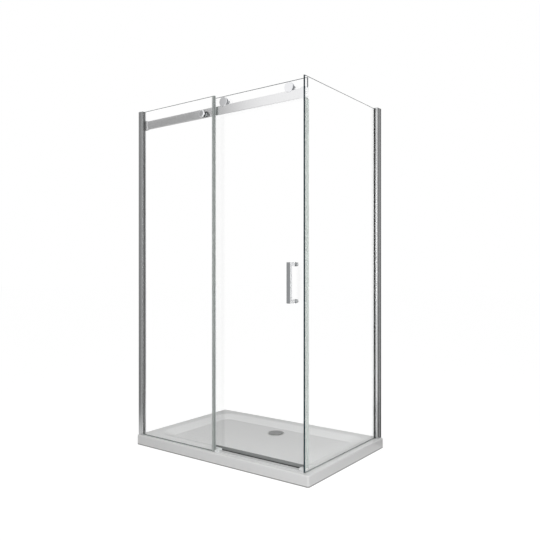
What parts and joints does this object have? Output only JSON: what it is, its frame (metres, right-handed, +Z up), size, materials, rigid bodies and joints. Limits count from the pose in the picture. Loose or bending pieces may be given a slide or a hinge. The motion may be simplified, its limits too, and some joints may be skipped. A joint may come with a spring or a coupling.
{
  "type": "walk-in shower enclosure",
  "caption": "Walk-in shower enclosure: low white tray, fixed glass front and side in wall profiles, and a glass door hung on rollers from a flat rail.",
  "frame": {"origin": "middle of the tray's underside, on the floor", "axes": "+X to the right along the front, +Y from the door side to the back wall, +Z up"},
  "size_m": [1.2, 0.8, 1.959],
  "materials": {
    "acrylic": "gloss white acrylic",
    "profile": "bright anodised",
    "chrome": "polished",
    "stainless": "satin",
    "fixing": "plain",
    "glass": "clear toughened, green edge",
    "clear_seal": "clear vinyl",
    "rubber": "black",
    "nylon": "grey nylon",
    "waste_plastic": "white",
    "tyre": "light grey nylon",
    "guide_plastic": "white acetal"
  },
  "bodies": {
    "enclosure_frame": {"shower_tray": "acrylic", "waste_flange": "stainless", "waste_seal_ring": "rubber", "waste_body": "waste_plastic", "left_wall_channel": "profile", "right_wall_channel": "profile", "left_glass_profile": "profile", "right_glass_profile": "profile", "left_profile_cap": "chrome", "right_profile_cap": "chrome", "glass_gaskets": "rubber", "profile_screws": "fixing", "fixed_glass": "glass", "side_glass": "glass", "fixed_glass_sill": "clear_seal", "side_glass_sill": "clear_seal", "fixed_glass_edge_seal": "clear_seal", "strike_seal": "clear_seal", "slide_rail": "stainless", "rail_wall_bracket": "chrome", "rail_wall_pad": "rubber", "rail_glass_bracket": "chrome", "rail_bracket_bond_pad": "rubber", "rail_grub_screws": "fixing", "clamp_cap": "chrome", "clamp_washers": "rubber", "clamp_spacer": "chrome", "clamp_bolt": "fixing", "clamp_bush": "nylon", "door_stops": "chrome", "stop_bumpers": "rubber", "stop_screws": "fixing", "bottom_guide": "guide_plastic", "guide_liners": "rubber", "guide_screws": "fixing", "threshold_bar": "clear_seal", "threshold_end_block": "clear_seal"},
    "sliding_door": {"door_glass": "glass", "door_left_seal": "clear_seal", "door_closing_seal": "clear_seal", "door_bottom_seal": "clear_seal", "handle_bar": "stainless", "handle_posts": "chrome", "handle_inner_caps": "chrome", "handle_washers": "clear_seal", "handle_bushes": "nylon", "handle_screws": "fixing", "roller_axles": "fixing", "roller_nuts": "fixing", "roller_washers": "nylon", "roller_bushes": "nylon", "roller_back_caps": "chrome"},
    "left_roller": {"left_wheel": "chrome", "left_tyre": "tyre", "left_bearing": "fixing"},
    "right_roller": {"right_wheel": "chrome", "right_tyre": "tyre", "right_bearing": "fixing"},
    "drain_cover": {"drain_cover": "chrome", "hair_strainer": "waste_plastic"}
  },
  "joints": [
    {"name": "door_slide", "type": "slide", "parent": "enclosure_frame", "child": "sliding_door", "axis": [-1, 0, 0], "range_m": [0, 0.47]},
    {"name": "left_roller_spin", "type": "hinge", "parent": "sliding_door", "child": "left_roller", "pos_m": [0.04, -0.358, 1.918], "axis": [0, -1, 0], "range_deg": [0, 1500]},
    {"name": "right_roller_spin", "type": "hinge", "parent": "sliding_door", "child": "right_roller", "pos_m": [0.462, -0.358, 1.918], "axis": [0, -1, 0], "range_deg": [0, 1500]},
    {"name": "drain_cover_lift", "type": "slide", "parent": "enclosure_frame", "child": "drain_cover", "axis": [0, 0, 1], "range_m": [0, 0.08]}
  ],
  "couplings": [
    {"joint": "left_roller_spin", "follows": "door_slide", "rad_per_m": 55.556},
    {"joint": "right_roller_spin", "follows": "door_slide", "rad_per_m": 55.556}
  ]
}
